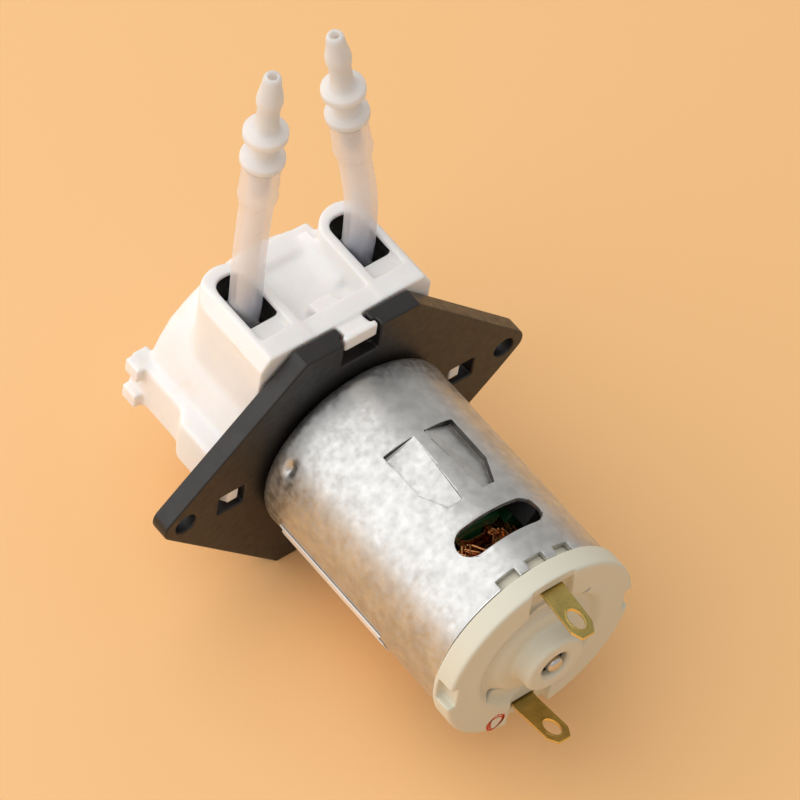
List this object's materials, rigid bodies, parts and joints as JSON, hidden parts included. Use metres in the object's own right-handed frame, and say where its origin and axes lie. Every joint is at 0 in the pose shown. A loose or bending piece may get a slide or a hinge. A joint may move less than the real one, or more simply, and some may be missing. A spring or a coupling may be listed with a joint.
{
  "type": "peristaltic pump",
  "caption": "Small panel-mount peristaltic pump: clip-fitted white roller head with a silicone tube loop and barbed ends, diamond flange, and a brushed can motor behind.",
  "frame": {"origin": "on the motor axis, in the rear face of the base flange, which seats on the panel", "axes": "+Y along the motor axis, from the roller head to the terminals; +Z the way the tubes leave the head; +X across the flange"},
  "size_m": [0.0564, 0.0688, 0.0816],
  "materials": {
    "white_plastic": "satin moulded, slightly warm white",
    "black_plastic": "fine moulded texture, black",
    "ivory_nylon": "semi-gloss moulded ivory nylon",
    "cap_nylon": "semi-gloss natural nylon with a green cast",
    "silicone_tube": "milky translucent, soft sheen",
    "clear_plastic": "frosted natural polypropylene",
    "zinc_can": "galvanised sheet, mottled satin",
    "steel": "ground and polished",
    "brass": "stamped, bright sheared edges",
    "copper": "enamelled wire and sheet copper",
    "bronze": "sintered, oily",
    "carbon": "pressed carbon",
    "ferrite": "dull sintered grey",
    "core_enamel": "green powder-coated laminations",
    "paper_label": "plain white film, no print"
  },
  "bodies": {
    "root": {"base_flange": "black_plastic", "motor_screw_1": "steel", "motor_screw_2": "steel", "head_housing": "white_plastic", "pump_tube": "silicone_tube", "tube_clip_left": "ivory_nylon", "tube_clip_right": "ivory_nylon", "barb_connector_left": "clear_plastic", "barb_connector_right": "clear_plastic", "motor_can": "zinc_can", "motor_label": "paper_label", "magnet_left": "ferrite", "magnet_right": "ferrite", "magnet_spring": "steel", "end_cap": "cap_nylon", "terminal_upper": "brass", "terminal_lower": "brass", "brush_arm_upper": "copper", "brush_arm_lower": "copper", "carbon_brush_upper": "carbon", "carbon_brush_lower": "carbon", "front_bearing": "bronze", "rear_bearing": "bronze"},
    "armature": {"motor_shaft": "steel", "armature_core": "core_enamel", "winding_1": "copper", "winding_2": "copper", "winding_3": "copper", "winding_4": "copper", "winding_5": "copper", "commutator": "copper", "thrust_washer_front": "carbon", "thrust_washer_rear": "carbon"},
    "carrier": {"carrier_front": "ivory_nylon", "carrier_rear": "ivory_nylon", "roller_pin_1": "steel", "roller_pin_2": "steel", "roller_pin_3": "steel"},
    "roller_1": {"roller_1": "ivory_nylon"},
    "roller_2": {"roller_2": "ivory_nylon"},
    "roller_3": {"roller_3": "ivory_nylon"}
  },
  "joints": [
    {"name": "motor_spin", "type": "hinge", "parent": "root", "child": "armature", "pos_m": [0, 0, 0], "axis": [0, 1, 0], "continuous": true},
    {"name": "carrier_spin", "type": "hinge", "parent": "root", "child": "carrier", "pos_m": [0, -0.01315, 0], "axis": [0, 1, 0], "continuous": true},
    {"name": "roller_spin_1", "type": "hinge", "parent": "carrier", "child": "roller_1", "pos_m": [0, -0.01315, 0.00635], "axis": [0, 1, 0], "continuous": true},
    {"name": "roller_spin_2", "type": "hinge", "parent": "carrier", "child": "roller_2", "pos_m": [-0.0055, -0.01315, -0.00317], "axis": [0, 1, 0], "continuous": true},
    {"name": "roller_spin_3", "type": "hinge", "parent": "carrier", "child": "roller_3", "pos_m": [0.0055, -0.01315, -0.00317], "axis": [0, 1, 0], "continuous": true}
  ],
  "couplings": [
    {"joint": "carrier_spin", "follows": "motor_spin", "ratio": 0.090909},
    {"joint": "roller_spin_1", "follows": "motor_spin", "ratio": -0.20202},
    {"joint": "roller_spin_2", "follows": "motor_spin", "ratio": -0.20202},
    {"joint": "roller_spin_3", "follows": "motor_spin", "ratio": -0.20202}
  ]
}
